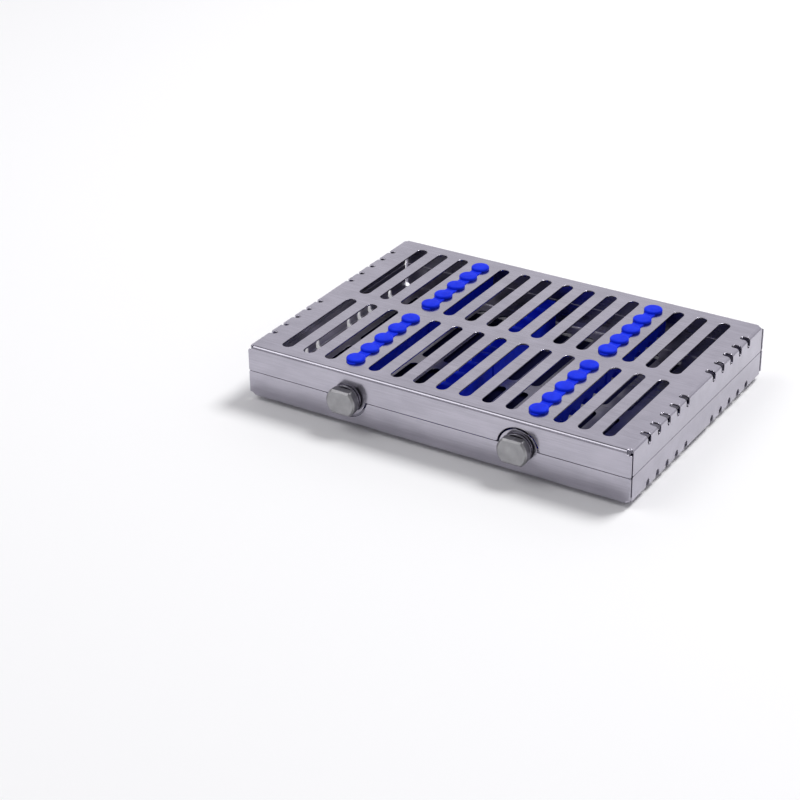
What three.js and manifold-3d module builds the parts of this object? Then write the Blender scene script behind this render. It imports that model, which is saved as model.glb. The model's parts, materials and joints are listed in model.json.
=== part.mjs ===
// A ten-place cassette for dental instruments. Two folded steel trays full of slots meet edge to
// edge and swing apart on two hinges at the back. A quarter-turn knob on each tray locks the front,
// and silicone rails, plugged into the slots, hold the instruments.
//
// Millimetres, Z up. X runs along the instruments, and the latches face -Y. The cassette lies shut
// with the heads of its lower rails on Z = 0, and X = Y = 0 is the middle of its outline.

import * as THREE from 'three';
import { mergeVertices } from 'three/addons/utils/BufferGeometryUtils.js';
import Module from 'manifold-3d';

const wasm = await Module();
wasm.setup();

// Steel trays
const trayLength = 205;
const trayWidth = 145;
const closedHeight = 27.2; // outside of one plate to outside of the other
const sheet = 0.9;
const foldRadius = 1.8; // outside of each fold
const seamGap = 0.4; // between the edges of the two trays
const cornerGap = 0.6; // open seam between neighbouring walls
const cornerHoleRadius = 1.2;
const cornerHoleInset = 1; // centre of the hole in from both outer faces
const wallEndRadius = 0.8; // free corners of the walls

// Slots in each plate: two columns of them, side by side
const slotCount = 15;
const slotWidth = 5.8;
const endMargin = 16.4; // from the end of the tray to the centre of the first slot
const edgeMargin = 7.8; // from the front or back of the tray to the slots
const ribWidth = 7.8; // plain plate between the two columns

// Short notches across the end folds, five to a group
const notchCount = 5;
const notchPitch = 10;
const notchWidth = 3.2;
const notchOnPlate = 4.6;
const notchOnWall = 4.6;

// Silicone rails: a comb inside the tray, a web through the slot and a row of heads outside
const placesPerRail = 5;
const combOverhang = 0.6; // past the outer end of the slot
const combMiddleGap = 0.8; // between the two combs of a row, over the rib
const combThickness = 9;
const combHeight = 16.5; // finger tips above the outer face of the plate
const cradleWidth = 9;
const cradleDepth = 5.8;
const endFinger = 1.7; // silicone outside the first and the last cradle
const headDiameter = 9.2;
const headReach = 1.8; // how far the heads stand out from the plate
const railGap = 0.3; // between silicone and steel

// The slots that hold rails, counted from the end at +X of their own tray
const baseRows = [{ label: '', slot: 9 }];
const lidRows = [{ label: '_left', slot: 4 }, { label: '_right', slot: 12 }];

// Latches: a tongue on one tray stands up into an arch in the other and carries the knob
const latchOffset = 46; // from the middle of the tray
const tongueRadius = 10;
const tongueDrop = 1.2; // centre of the tongue's curve below the seam
const tongueGap = 0.9; // between the tongue and the arch
const knobDiameter = 15.8;
const knobFlats = 12.4; // across the two flats
const knobThickness = 4.5;
const knobChamfer = 0.6;
const neckDiameter = 9;
const neckLength = 0.3;
const stemDiameter = 5;
const stemFlats = 3.8; // across the flats that turn the cam
const stemGap = 0.4; // round the stem where it passes through steel
const collarDiameter = 14;
const collarThickness = 1;
const springDiameter = 11;
const springThickness = 0.8;
const camThickness = 1.2;
const camWidth = 8.4;
const camTipGap = 2.3; // between the tip of the cam and the plate that it points at
const screwHeadDiameter = 6.4;
const screwHeadThickness = 1.4;
const screwShankDiameter = 2.4;
const screwShankLength = 4;
const screwGap = 0.3; // round the shank and at its end
const stackGap = 0.3; // between pieces stacked on the stem

// Keepers: the foot that a cam swings under
const keeperThickness = 0.8;
const keeperGap = 0.3; // to the walls in front of it
const keeperLift = 0.4; // between the edge of the cam and the foot
const keeperStart = 7; // from the axis of the knob to the near end of the foot
const keeperLegWidth = 4.2;
const keeperLegOverlap = 6; // how far the leg runs along its own wall
const keeperFootDepth = 4.6;

// Hinges
const hingeOffset = 55; // from the middle of the tray
const hingeLength = 24;
const middleKnuckle = 11;
const leafThickness = 0.8;
const leafHeight = 9.5;
const leafGap = 0.3; // to the wall that it is fixed to
const barrelRadius = 2.4;
const pinRadius = 1.2;
const pinGap = 0.3;
const knuckleGap = 0.3;
const pinHeadRadius = 1.9;
const pinHeadThickness = 0.8;

// An arc is cut into twice as many straight pieces as these numbers of steps.
const foldSteps = 2;
const notchSteps = 2;
const slotEndSteps = 2;
const cradleSteps = 3;
const smallDiscSteps = 6;
const discSteps = 10;
const archSteps = 16;

const overrun = 1; // of every cutter past what it cuts
const weldDistance = 1e-4;

// Derived sizes and places
const halfLength = trayLength / 2;
const halfWidth = trayWidth / 2;
const seamHeight = closedHeight / 2;
const trayHeight = seamHeight - seamGap / 2;
const slotPitch = (trayLength - 2 * endMargin) / (slotCount - 1);
const slotLength = (trayWidth - 2 * edgeMargin - ribWidth) / 2;
const columns = [
  { label: '_front', y: -(slotLength + ribWidth) / 2 },
  { label: '_back', y: (slotLength + ribWidth) / 2 },
];
const combReach = slotLength / 2 + combOverhang; // from the middle of the slot to the outer end
const placePitch = (2 * combReach - cradleWidth - 2 * endFinger) / (placesPerRail - 1);
const archRadius = tongueRadius + tongueGap;
const camReach = seamHeight - sheet - camTipGap;
const hingeAxisY = halfWidth + leafGap + barrelRadius;
const hingeReach = leafGap + 2 * barrelRadius;

// What is stacked on the stem of a knob, measured back from the outer face of the wall
const collarStart = -stackGap - collarThickness;
const neckStart = collarStart - stackGap - neckLength;
const knobStart = neckStart - knobThickness;
const springStart = sheet + stackGap;
const camStart = springStart + springThickness + stackGap;
const camEnd = camStart + camThickness;
const screwStart = camEnd + stackGap;

const steel = new THREE.MeshStandardMaterial({ color: 0xb3afb6, roughness: 0.34, metalness: 0.95 });
const turnedSteel = new THREE.MeshStandardMaterial({ color: 0xc4c0c8, roughness: 0.26, metalness: 0.95 });
const springSteel = new THREE.MeshStandardMaterial({ color: 0x9b989d, roughness: 0.38, metalness: 0.9 });
const silicone = new THREE.MeshStandardMaterial({ color: 0x1a2be0, roughness: 0.5, metalness: 0 });

// A closed three.js geometry as a solid that can be joined and cut.
function solid(geometry) {
  geometry.deleteAttribute('normal');
  geometry.deleteAttribute('uv');
  const merged = mergeVertices(geometry, weldDistance);
  const corners = merged.index.array;
  const faces = [];
  for (let i = 0; i < corners.length; i += 3) {
    const [a, b, c] = corners.slice(i, i + 3);
    if (a !== b && b !== c && c !== a) faces.push(a, b, c);
  }
  const mesh = new wasm.Mesh({
    numProp: 3,
    vertProperties: new Float32Array(merged.attributes.position.array),
    triVerts: new Uint32Array(faces),
  });
  return new wasm.Manifold(mesh);
}

function joined(bodies) {
  return bodies.reduce((whole, body) => whole.add(body));
}

function cutAway(body, cutters) {
  return cutters.reduce((rest, cutter) => rest.subtract(cutter), body);
}

function extruded(shape, from, to, steps) {
  const start = Math.min(from, to);
  const depth = Math.abs(to - from);
  const geometry = new THREE.ExtrudeGeometry(shape, { depth, bevelEnabled: false, curveSegments: steps });
  return geometry.translate(0, 0, start);
}

// A shape drawn in X and Y, standing between two heights.
function upright(shape, from, to, steps) {
  return solid(extruded(shape, from, to, steps));
}

// A shape drawn in X and Z, running along Y between two places.
function frontToBack(shape, from, to, steps) {
  const turn = new THREE.Matrix4().makeRotationX(Math.PI / 2);
  return solid(extruded(shape, -from, -to, steps).applyMatrix4(turn));
}

// A shape drawn in Y and Z, running along X between two places.
function endToEnd(shape, from, to, steps) {
  const turn = new THREE.Matrix4().set(0, 0, 1, 0, 1, 0, 0, 0, 0, 1, 0, 0, 0, 0, 0, 1);
  return solid(extruded(shape, from, to, steps).applyMatrix4(turn));
}

function rectangle(x0, y0, x1, y1) {
  const shape = new THREE.Shape();
  shape.moveTo(x0, y0);
  shape.lineTo(x1, y0);
  shape.lineTo(x1, y1);
  shape.lineTo(x0, y1);
  shape.closePath();
  return shape;
}

function disc(x, y, radius) {
  const shape = new THREE.Shape();
  shape.absarc(x, y, radius, 0, 2 * Math.PI);
  return shape;
}

function ring(x, y, outer, inner) {
  const shape = disc(x, y, outer);
  shape.holes.push(new THREE.Path().absarc(x, y, inner, 0, 2 * Math.PI));
  return shape;
}

// A straight slot with round ends centred on the two points.
function roundedSlot(x0, y0, x1, y1, width) {
  const turn = Math.atan2(y1 - y0, x1 - x0);
  const quarter = Math.PI / 2;
  const shape = new THREE.Shape();
  shape.absarc(x1, y1, width / 2, turn - quarter, turn + quarter);
  shape.absarc(x0, y0, width / 2, turn + quarter, turn + 3 * quarter);
  shape.closePath();
  return shape;
}

// A circle with two flats, one facing up and one down.
function doubleD(x, y, diameter, flats) {
  const flatAngle = Math.asin(flats / diameter);
  const shape = new THREE.Shape();
  shape.absarc(x, y, diameter / 2, -flatAngle, flatAngle);
  shape.absarc(x, y, diameter / 2, Math.PI - flatAngle, Math.PI + flatAngle);
  shape.closePath();
  return shape;
}

// What is cut from a square upper corner to round it. The corner points up and to the given side.
function cornerWaste(x, y, side) {
  const start = x - side * wallEndRadius;
  const shape = new THREE.Shape();
  shape.moveTo(x + side * overrun, y + overrun);
  shape.lineTo(start, y + overrun);
  shape.lineTo(start, y);
  shape.absarc(start, y - wallEndRadius, wallEndRadius, Math.PI / 2, side > 0 ? 0 : Math.PI, side > 0);
  shape.lineTo(x + side * overrun, y - wallEndRadius);
  shape.closePath();
  return shape;
}

// The filled section of a tray: a block with its two lower corners rounded.
function troughSection(width, bottom, top, radius) {
  const start = width / 2 - radius;
  const shape = new THREE.Shape();
  shape.moveTo(width / 2, top);
  shape.lineTo(-width / 2, top);
  shape.absarc(-start, bottom + radius, radius, Math.PI, 1.5 * Math.PI);
  shape.absarc(start, bottom + radius, radius, 1.5 * Math.PI, 2 * Math.PI);
  shape.closePath();
  return shape;
}

function troughBlock(length, width, bottom, top, radius) {
  const lengthwise = troughSection(length, bottom, top, radius);
  const crosswise = troughSection(width, bottom, top, radius);
  const first = frontToBack(lengthwise, -width / 2, width / 2, foldSteps);
  return first.intersect(endToEnd(crosswise, -length / 2, length / 2, foldSteps));
}

function slotX(slot) {
  return ((slotCount + 1) / 2 - slot) * slotPitch;
}

function slotShape(x, y, gap) {
  const reach = (slotLength - slotWidth) / 2;
  return roundedSlot(x, y - reach, x, y + reach, slotWidth - 2 * gap);
}

function slotCutters() {
  const cutters = [];
  for (let slot = 1; slot <= slotCount; slot += 1) {
    for (const column of columns) {
      const shape = slotShape(slotX(slot), column.y, 0);
      cutters.push(upright(shape, -overrun, sheet + overrun, slotEndSteps));
    }
  }
  return cutters;
}

// One notch runs across the fold, with a round end in the plate and another in the wall.
function notchCutter(side, y) {
  const end = notchWidth / 2;
  const innerX = side * (halfLength - notchOnPlate + end);
  const outerX = side * (halfLength + overrun);
  const onPlate = roundedSlot(innerX, y, outerX, y, notchWidth);
  const onWall = roundedSlot(y, -overrun, y, notchOnWall - end, notchWidth);
  const inPlate = upright(onPlate, -overrun, foldRadius, notchSteps);
  return inPlate.add(endToEnd(onWall, side * (halfLength - foldRadius), outerX, notchSteps));
}

function notchCutters() {
  const cutters = [];
  for (const side of [-1, 1]) {
    for (const column of columns) {
      for (let i = 0; i < notchCount; i += 1) {
        cutters.push(notchCutter(side, column.y + (i - (notchCount - 1) / 2) * notchPitch));
      }
    }
  }
  return cutters;
}

// At each corner: a round hole where the folds meet, an open seam that stops the end wall short of
// the front or back wall, and the rounded free corners of both walls.
function cornerCutters(side, face) {
  const holeX = side * (halfLength - cornerHoleInset);
  const holeY = face * (halfWidth - cornerHoleInset);
  const outerX = side * (halfLength + overrun);
  const outerY = face * (halfWidth + overrun);
  const seamY = face * (halfWidth - sheet);
  const wallEndY = face * (halfWidth - sheet - cornerGap);
  const midSeamY = face * (halfWidth - sheet - cornerGap / 2);
  const hole = disc(holeX, holeY, cornerHoleRadius);
  const seam = rectangle(side * (halfLength - foldRadius), wallEndY, outerX, seamY);
  const longWallEnd = cornerWaste(side * halfLength, trayHeight, side);
  const endWallEnd = cornerWaste(wallEndY, trayHeight, face);
  return [
    upright(hole, -overrun, foldRadius + cornerHoleRadius, smallDiscSteps),
    upright(seam, foldRadius, trayHeight + overrun),
    frontToBack(longWallEnd, midSeamY, outerY, notchSteps),
    endToEnd(endWallEnd, side * (halfLength - foldRadius), outerX, notchSteps),
  ];
}

// A shape on the front wall of a tray, as thick as the wall or cutting right through it.
function inFrontWall(shape, extra) {
  return frontToBack(shape, -halfWidth - extra, -halfWidth + sheet + extra, archSteps);
}

// One tray, open side up: a tongue for its own knob at +X, and an arch for the other knob at -X.
function trayBody() {
  const outside = troughBlock(trayLength, trayWidth, 0, trayHeight, foldRadius);
  const insideLength = trayLength - 2 * sheet;
  const insideWidth = trayWidth - 2 * sheet;
  const inside = troughBlock(insideLength, insideWidth, sheet, trayHeight + overrun, foldRadius - sheet);
  const corners = [-1, 1].flatMap((side) => [-1, 1].flatMap((face) => cornerCutters(side, face)));
  const open = cutAway(outside.subtract(inside), [...slotCutters(), ...notchCutters(), ...corners]);
  const tongue = new THREE.Shape();
  tongue.absarc(latchOffset, seamHeight - tongueDrop, tongueRadius, 0, Math.PI);
  tongue.closePath();
  const arch = disc(-latchOffset, seamHeight + tongueDrop, archRadius);
  const stemHole = disc(latchOffset, seamHeight, stemDiameter / 2 + stemGap);
  const withTongue = open.add(inFrontWall(tongue, 0));
  return cutAway(withTongue, [inFrontWall(arch, overrun), inFrontWall(stemHole, overrun)]);
}

function placeY(columnY, place) {
  return columnY + (place - (placesPerRail - 1) / 2) * placePitch;
}

// The comb of a rail: one round-bottomed cradle for each instrument.
function combShape(y) {
  const middleEnd = Math.sign(y) * combMiddleGap / 2;
  const outerEnd = y + Math.sign(y) * combReach;
  const low = Math.min(middleEnd, outerEnd);
  const high = Math.max(middleEnd, outerEnd);
  const radius = cradleWidth / 2;
  const shape = new THREE.Shape();
  shape.moveTo(low, sheet + railGap);
  shape.lineTo(high, sheet + railGap);
  shape.lineTo(high, combHeight);
  for (let place = placesPerRail - 1; place >= 0; place -= 1) {
    const centre = placeY(y, place);
    shape.lineTo(centre + radius, combHeight);
    shape.absarc(centre, combHeight - cradleDepth + radius, radius, 0, -Math.PI, true);
    shape.lineTo(centre - radius, combHeight);
  }
  shape.lineTo(low, combHeight);
  shape.closePath();
  return shape;
}

function railBody(x, y) {
  const halfComb = combThickness / 2;
  const halfHead = headReach / 2;
  const pieces = [
    endToEnd(combShape(y), x - halfComb, x + halfComb, cradleSteps),
    upright(slotShape(x, y, railGap), -halfHead, sheet + 2 * railGap, slotEndSteps),
  ];
  for (let place = 0; place < placesPerRail; place += 1) {
    const head = disc(x, placeY(y, place), headDiameter / 2);
    pieces.push(upright(head, -headReach, -railGap, smallDiscSteps));
  }
  return joined(pieces);
}

// A shape round the axis of a tray's own knob, between two distances back from the wall's face.
function onStem(shape, from, to) {
  return frontToBack(shape, from - halfWidth, to - halfWidth, discSteps);
}

function stemDisc(diameter) {
  return disc(latchOffset, seamHeight, diameter / 2);
}

function stemRing(diameter) {
  return ring(latchOffset, seamHeight, diameter / 2, stemDiameter / 2 + stemGap);
}

function knobBody() {
  const shape = doubleD(latchOffset, seamHeight, knobDiameter, knobFlats);
  const head = new THREE.ExtrudeGeometry(shape, {
    depth: knobThickness - 2 * knobChamfer,
    bevelThickness: knobChamfer,
    bevelSize: knobChamfer,
    bevelOffset: -knobChamfer,
    bevelSegments: 1,
    curveSegments: discSteps / 2,
  });
  head.rotateX(Math.PI / 2);
  head.translate(0, neckStart - knobChamfer - halfWidth, 0);
  const insideHead = neckStart - knobThickness / 2;
  const neck = onStem(stemDisc(neckDiameter), insideHead, neckStart + neckLength);
  const stem = onStem(stemDisc(stemDiameter), insideHead, camStart - stackGap);
  const end = onStem(doubleD(latchOffset, seamHeight, stemDiameter, stemFlats), insideHead, camEnd);
  const boreStart = screwStart - screwShankLength - screwGap;
  const bore = onStem(stemDisc(screwShankDiameter + 2 * screwGap), boreStart, camEnd + overrun);
  return joined([solid(head), neck, stem, end]).subtract(bore);
}

function collarBody() {
  return onStem(stemRing(collarDiameter), collarStart, collarStart + collarThickness);
}

function springBody() {
  return onStem(stemRing(springDiameter), springStart, springStart + springThickness);
}

// The cam points straight out of its own tray while the knob is free, and lies along the seam when
// the knob is turned.
function camBody() {
  const radius = camWidth / 2;
  const bar = roundedSlot(latchOffset, seamHeight, latchOffset, seamHeight + camReach - radius, camWidth);
  const hole = doubleD(latchOffset, seamHeight, stemDiameter + 2 * stackGap, stemFlats + 2 * stackGap);
  return onStem(bar, camStart, camEnd).subtract(onStem(hole, camStart - overrun, camEnd + overrun));
}

function screwBody() {
  const headEnd = screwStart + screwHeadThickness;
  const shank = onStem(stemDisc(screwShankDiameter), screwStart - screwShankLength, headEnd);
  return shank.add(onStem(stemDisc(screwHeadDiameter), screwStart, headEnd));
}

// The keeper stands beside its own tray's arch and reaches past the seam, with its foot over the
// place that the other tray's cam turns to.
function keeperBody() {
  const nearX = -latchOffset + keeperStart;
  const legX = -latchOffset + archRadius + keeperGap;
  const farX = legX + keeperLegWidth;
  const front = -halfWidth + sheet + keeperGap;
  const footZ = seamHeight + camWidth / 2 + keeperLift;
  const leg = rectangle(legX, seamHeight - keeperLegOverlap, farX, footZ + keeperThickness);
  const foot = rectangle(nearX, front, farX, front + keeperFootDepth);
  const legBody = frontToBack(leg, front, front + keeperThickness);
  return legBody.add(upright(foot, footZ, footZ + keeperThickness));
}

// Hinge knuckles along X. The base leaf has the outer two, and the lid leaf has the middle one.
const middleSpans = [[-middleKnuckle / 2, middleKnuckle / 2]];
const outerSpans = [
  [-hingeLength / 2, -middleKnuckle / 2 - knuckleGap],
  [middleKnuckle / 2 + knuckleGap, hingeLength / 2],
];

// A hinge leaf hangs down the back wall from its knuckles, and is cut clear of the other leaf's.
function leafBody(x, ownSpans, otherSpans) {
  const front = halfWidth + leafGap;
  const back = front + leafThickness;
  const cutZ = seamHeight - barrelRadius - knuckleGap;
  const plate = rectangle(front, seamHeight - leafHeight, back, seamHeight);
  const clearance = rectangle(front - overrun, cutZ, back + overrun, seamHeight + overrun);
  const section = ring(hingeAxisY, seamHeight, barrelRadius, pinRadius + pinGap);
  const body = endToEnd(plate, x - hingeLength / 2, x + hingeLength / 2);
  const cutters = otherSpans.map(([from, to]) => {
    return endToEnd(clearance, x + from - knuckleGap, x + to + knuckleGap);
  });
  const barrels = ownSpans.map(([from, to]) => endToEnd(section, x + from, x + to, discSteps));
  return joined([cutAway(body, cutters), ...barrels]);
}

function pinBody(x) {
  const innerReach = hingeLength / 2 + knuckleGap;
  const outerReach = innerReach + pinHeadThickness;
  const rod = disc(hingeAxisY, seamHeight, pinRadius);
  const head = disc(hingeAxisY, seamHeight, pinHeadRadius);
  return joined([
    endToEnd(rod, x - outerReach, x + outerReach, smallDiscSteps),
    endToEnd(head, x - outerReach, x - innerReach, smallDiscSteps),
    endToEnd(head, x + innerReach, x + outerReach, smallDiscSteps),
  ]);
}

function piece(name, body, material) {
  const { vertProperties, triVerts } = body.getMesh();
  const geometry = new THREE.BufferGeometry();
  geometry.setAttribute('position', new THREE.BufferAttribute(vertProperties, 3));
  geometry.setIndex(new THREE.BufferAttribute(triVerts, 1));
  geometry.computeVertexNormals();
  const mesh = new THREE.Mesh(geometry, material.clone());
  mesh.name = name;
  return mesh;
}

// A tray in its own frame, open side up, with the rails and the keeper that are fixed to it.
function trayPieces(tray, keeperSide, rows) {
  const pieces = [piece(`${tray}_tray`, trayBody(), steel)];
  for (const row of rows) {
    for (const column of columns) {
      const rail = railBody(slotX(row.slot), column.y);
      pieces.push(piece(`${tray}_rail${row.label}${column.label}`, rail, silicone));
    }
  }
  pieces.push(piece(`${keeperSide}_keeper`, keeperBody(), steel));
  return pieces;
}

function latchPieces(side) {
  return [
    piece(`${side}_knob`, knobBody(), turnedSteel),
    piece(`${side}_collar`, collarBody(), turnedSteel),
    piece(`${side}_spring_washer`, springBody(), springSteel),
    piece(`${side}_cam`, camBody(), steel),
    piece(`${side}_cam_screw`, screwBody(), turnedSteel),
  ];
}

const cassette = new THREE.Group();
cassette.position.y = -(knobStart + hingeReach) / 2;

const base = new THREE.Group();
base.position.z = headReach;
base.add(...trayPieces('base', 'left', baseRows), ...latchPieces('right'));
for (const [side, x] of [['left', -hingeOffset], ['right', hingeOffset]]) {
  base.add(piece(`${side}_hinge_base_leaf`, leafBody(x, outerSpans, middleSpans), steel));
  base.add(piece(`${side}_hinge_pin`, pinBody(x), turnedSteel));
}
cassette.add(base);

// The lid is the same stamping as the base, turned over end for end.
const lid = new THREE.Group();
lid.rotation.y = Math.PI;
lid.position.z = headReach + closedHeight;
lid.add(...trayPieces('lid', 'right', lidRows), ...latchPieces('left'));
for (const [side, x] of [['left', hingeOffset], ['right', -hingeOffset]]) {
  lid.add(piece(`${side}_hinge_lid_leaf`, leafBody(x, middleSpans, outerSpans), steel));
}
cassette.add(lid);

export default cassette;
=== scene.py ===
# The looks of a ten-place cassette for dental instruments: two slotted trays of brushed stainless
# sheet, blue silicone rails, quarter-turn latches at the front and knuckle hinges at the back.
# Pieces are drawn in millimetres, each tray's in its own frame with the open side up, and are then
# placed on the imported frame, in metres.
import json
import math

import bpy
import numpy as np
from mathutils import Matrix, Vector
from mathutils.geometry import delaunay_2d_cdt


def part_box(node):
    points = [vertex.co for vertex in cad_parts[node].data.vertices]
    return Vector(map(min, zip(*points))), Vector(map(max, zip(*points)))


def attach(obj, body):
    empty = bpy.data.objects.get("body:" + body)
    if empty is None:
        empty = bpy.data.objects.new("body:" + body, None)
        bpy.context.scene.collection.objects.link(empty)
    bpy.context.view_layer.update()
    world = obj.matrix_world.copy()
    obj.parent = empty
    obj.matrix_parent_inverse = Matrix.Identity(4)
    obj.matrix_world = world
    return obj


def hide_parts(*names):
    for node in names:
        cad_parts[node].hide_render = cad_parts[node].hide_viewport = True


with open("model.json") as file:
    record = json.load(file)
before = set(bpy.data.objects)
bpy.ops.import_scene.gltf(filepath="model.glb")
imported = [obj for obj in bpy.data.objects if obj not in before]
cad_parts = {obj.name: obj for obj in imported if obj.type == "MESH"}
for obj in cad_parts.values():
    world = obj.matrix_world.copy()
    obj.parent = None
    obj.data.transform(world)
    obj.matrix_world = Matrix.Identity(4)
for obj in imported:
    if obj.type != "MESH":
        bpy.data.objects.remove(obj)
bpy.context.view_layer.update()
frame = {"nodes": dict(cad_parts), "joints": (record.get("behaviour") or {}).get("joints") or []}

MM = 0.001


def box_in_mm(node):
    low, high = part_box(node)
    return low / MM, high / MM


def joint_place(name):
    joint = next(joint for joint in frame["joints"] if joint["name"] == name)
    return Vector(joint["pos_m"]) / MM


# Overall sizes and places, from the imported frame
BASE_LOW, BASE_HIGH = box_in_mm("base_tray")
TRAY_LENGTH = BASE_HIGH.x - BASE_LOW.x
TRAY_WIDTH = BASE_HIGH.y - BASE_LOW.y
TRAY_Y = (BASE_HIGH.y + BASE_LOW.y) / 2
CLOSED_HEIGHT = box_in_mm("lid_tray")[1].z - BASE_LOW.z
HEAD_REACH = BASE_LOW.z
SEAM = CLOSED_HEIGHT / 2
LATCH_X = joint_place("right_latch_turn").x

# Sheet and folds
SHEET = 0.9
FOLD_RADIUS = 1.8
SEAM_GAP = 0.15
CORNER_GAP = 1.3
CORNER_HOLE_RADIUS = 1.6
CORNER_HOLE_INSET = 1.0
HOLE_MOUTH_RADIUS = 0.5
WALL_END_RADIUS = 0.8
PUNCHED_EDGE = 0.18

# Slots and notches
SLOT_COUNT = 15
SLOT_WIDTH = 5.8
END_MARGIN = 16.4
EDGE_MARGIN = 7.8
RIB_WIDTH = 7.8
NOTCH_COUNT = 5
NOTCH_PITCH = 10.0
NOTCH_WIDTH = 3.2
NOTCH_ON_PLATE = 4.6
NOTCH_ON_WALL = 4.6

# Latches
TONGUE_RADIUS = 10.0
TONGUE_DROP = 1.2
TONGUE_GAP = 0.9
ARCH_MOUTH_RADIUS = 1.3
STEM_HOLE_RADIUS = 2.9
STEM_DIAMETER = 5.0
STEM_FLATS = 3.8
STEM_CORNER_RADIUS = 0.2
STEM_EDGE = 0.1
STEM_OVERLAP = 1.0
KNOB_DIAMETER = 15.8
KNOB_FLATS = 12.4
KNOB_HEIGHT = 4.5
KNOB_CHAMFER = 0.9
KNOB_BACK_CHAMFER = 0.3
KNOB_CORNER_RADIUS = 1.0
NECK_RADIUS = 4.5
NECK_OVERLAP = 0.1
STACK_GAP = 0.3
COLLAR_RADIUS = 7.0
COLLAR_EDGE = 0.2
SPRING_RADIUS = 5.5
SPRING_SHEET = 0.35
SPRING_EDGE = 0.08
SPRING_WAVES = 3
CAM_WIDTH = 8.4
CAM_EDGE = 0.15
SCREW_HEAD_RADIUS = 3.2
SCREW_HEAD_HEIGHT = 1.4
SCREW_HEAD_EDGE = 0.3
SCREW_SHANK_RADIUS = 1.2
SCREW_SOCKET_RADIUS = 1.45
KEEPER_SHEET = 0.8
KEEPER_BEND = 1.3
KEEPER_BEND_STEPS = 5
KEEPER_LEG_WIDTH = 4.2
KEEPER_CORNER_RADIUS = 0.4
KEEPER_EDGE = 0.12

# Rails
PLACES_PER_RAIL = 5
COMB_REACH = 31.0
COMB_THICKNESS = 9.0
COMB_HEIGHT = 16.5
COMB_CORNER_RADIUS = 0.8
COMB_EDGE = 0.5
CRADLE_WIDTH = 9.0
CRADLE_DEPTH = 5.8
END_FINGER = 1.7
RAIL_GAP = 0.3
COMB_MIDDLE_GAP = 0.8
COMB_MIDDLE_RADIUS = 3.2
HEAD_RADIUS = 4.6
HEAD_RIM_RADIUS = 0.8
HEAD_CROWN = 0.16
HEAD_CROWN_STEPS = 5
HEAD_STEP_INSET = 0.15
HEAD_STEP_DEPTH = 0.3
HEAD_STANDOFF = 0.08
WEB_PROUD = 0.5
WEB_SLACK = 0.1
WEB_EDGE = 0.3

# Hinges
BARREL_RADIUS = 2.4
LEAF_SHEET = 0.8
LEAF_GAP = 0.3
LEAF_CORNER_RADIUS = 0.5
LEAF_EDGE = 0.12
MIDDLE_KNUCKLE = 11.0
KNUCKLE_GAP = 0.3
CURL_TURN = 300
CURL_STEPS = 24
PIN_RADIUS = 1.2
PIN_HEAD_RADIUS = 1.9
PIN_HEAD_HEIGHT = 0.8
PIN_DOME_RADIUS_SHARES = (0, 0.6, 0.92, 1)
PIN_DOME_DROPS = (0, 0.08, 0.3, 0.5)

HALF_LENGTH = TRAY_LENGTH / 2
HALF_WIDTH = TRAY_WIDTH / 2
TRAY_HEIGHT = SEAM - SEAM_GAP / 2
SLOT_PITCH = (TRAY_LENGTH - 2 * END_MARGIN) / (SLOT_COUNT - 1)
SLOT_LENGTH = (TRAY_WIDTH - 2 * EDGE_MARGIN - RIB_WIDTH) / 2
COLUMN_Y = (SLOT_LENGTH + RIB_WIDTH) / 2
PLACE_PITCH = (2 * COMB_REACH - 2 * END_FINGER - CRADLE_WIDTH) / (PLACES_PER_RAIL - 1)

PLACES = {
    "base": Matrix.Translation((0, TRAY_Y, HEAD_REACH)),
    "lid": Matrix.Translation((0, TRAY_Y, HEAD_REACH + CLOSED_HEIGHT)) @ Matrix.Rotation(math.pi, 4, "Y"),
}


# Outlines, as lists of points in a plane

def arc(x, y, radius, start, end, steps):
    angles = np.linspace(math.radians(start), math.radians(end), steps + 1)
    return [(x + radius * math.cos(a), y + radius * math.sin(a)) for a in angles]


def circle(x, y, radius, steps=40):
    return arc(x, y, radius, 0, 360, steps)[:-1]


def round_slot(x0, y0, x1, y1, width, steps=12):
    turn = math.degrees(math.atan2(y1 - y0, x1 - x0))
    first = arc(x1, y1, width / 2, turn - 90, turn + 90, steps)
    return first + arc(x0, y0, width / 2, turn + 90, turn + 270, steps)


def double_d(diameter, flats, steps=18):
    flat_angle = math.degrees(math.asin(flats / diameter))
    right = arc(0, 0, diameter / 2, -flat_angle, flat_angle, steps)
    return right + arc(0, 0, diameter / 2, 180 - flat_angle, 180 + flat_angle, steps)


LEAST_SOFTENED_BEND = math.radians(25)


def softened(loop, radius, steps=4):
    """The same closed line with each sharp corner turned into a small arc."""
    points = [Vector(point) for point in loop]
    soft = []
    for i, here in enumerate(points):
        back = (points[i - 1] - here).normalized()
        ahead = (points[(i + 1) % len(points)] - here).normalized()
        bend = math.pi - back.angle(ahead)
        if bend < LEAST_SOFTENED_BEND:
            soft.append(tuple(here))
            continue
        centre = here + (back + ahead).normalized() * radius / math.cos(bend / 2)
        start = here + back * radius * math.tan(bend / 2) - centre
        turn = bend * (1 if back.cross(ahead) < 0 else -1)
        for k in range(steps + 1):
            soft.append(tuple(centre + Matrix.Rotation(turn * k / steps, 2) @ start))
    return soft


# Meshes: points, their normals and faces, drawn in millimetres

class Shell:
    def __init__(self):
        self.points = []
        self.normals = []
        self.faces = []

    def add(self, points, normals, faces):
        start = len(self.points)
        self.points += [tuple(point) for point in points]
        self.normals += [tuple(normal) for normal in normals]
        self.faces += [tuple(start + corner for corner in face) for face in faces]

    def join(self, other, place):
        turn = place.to_3x3()
        points = [place @ Vector(point) for point in other.points]
        normals = [turn @ Vector(normal) for normal in other.normals]
        self.add(points, normals, other.faces)
        return self


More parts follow.
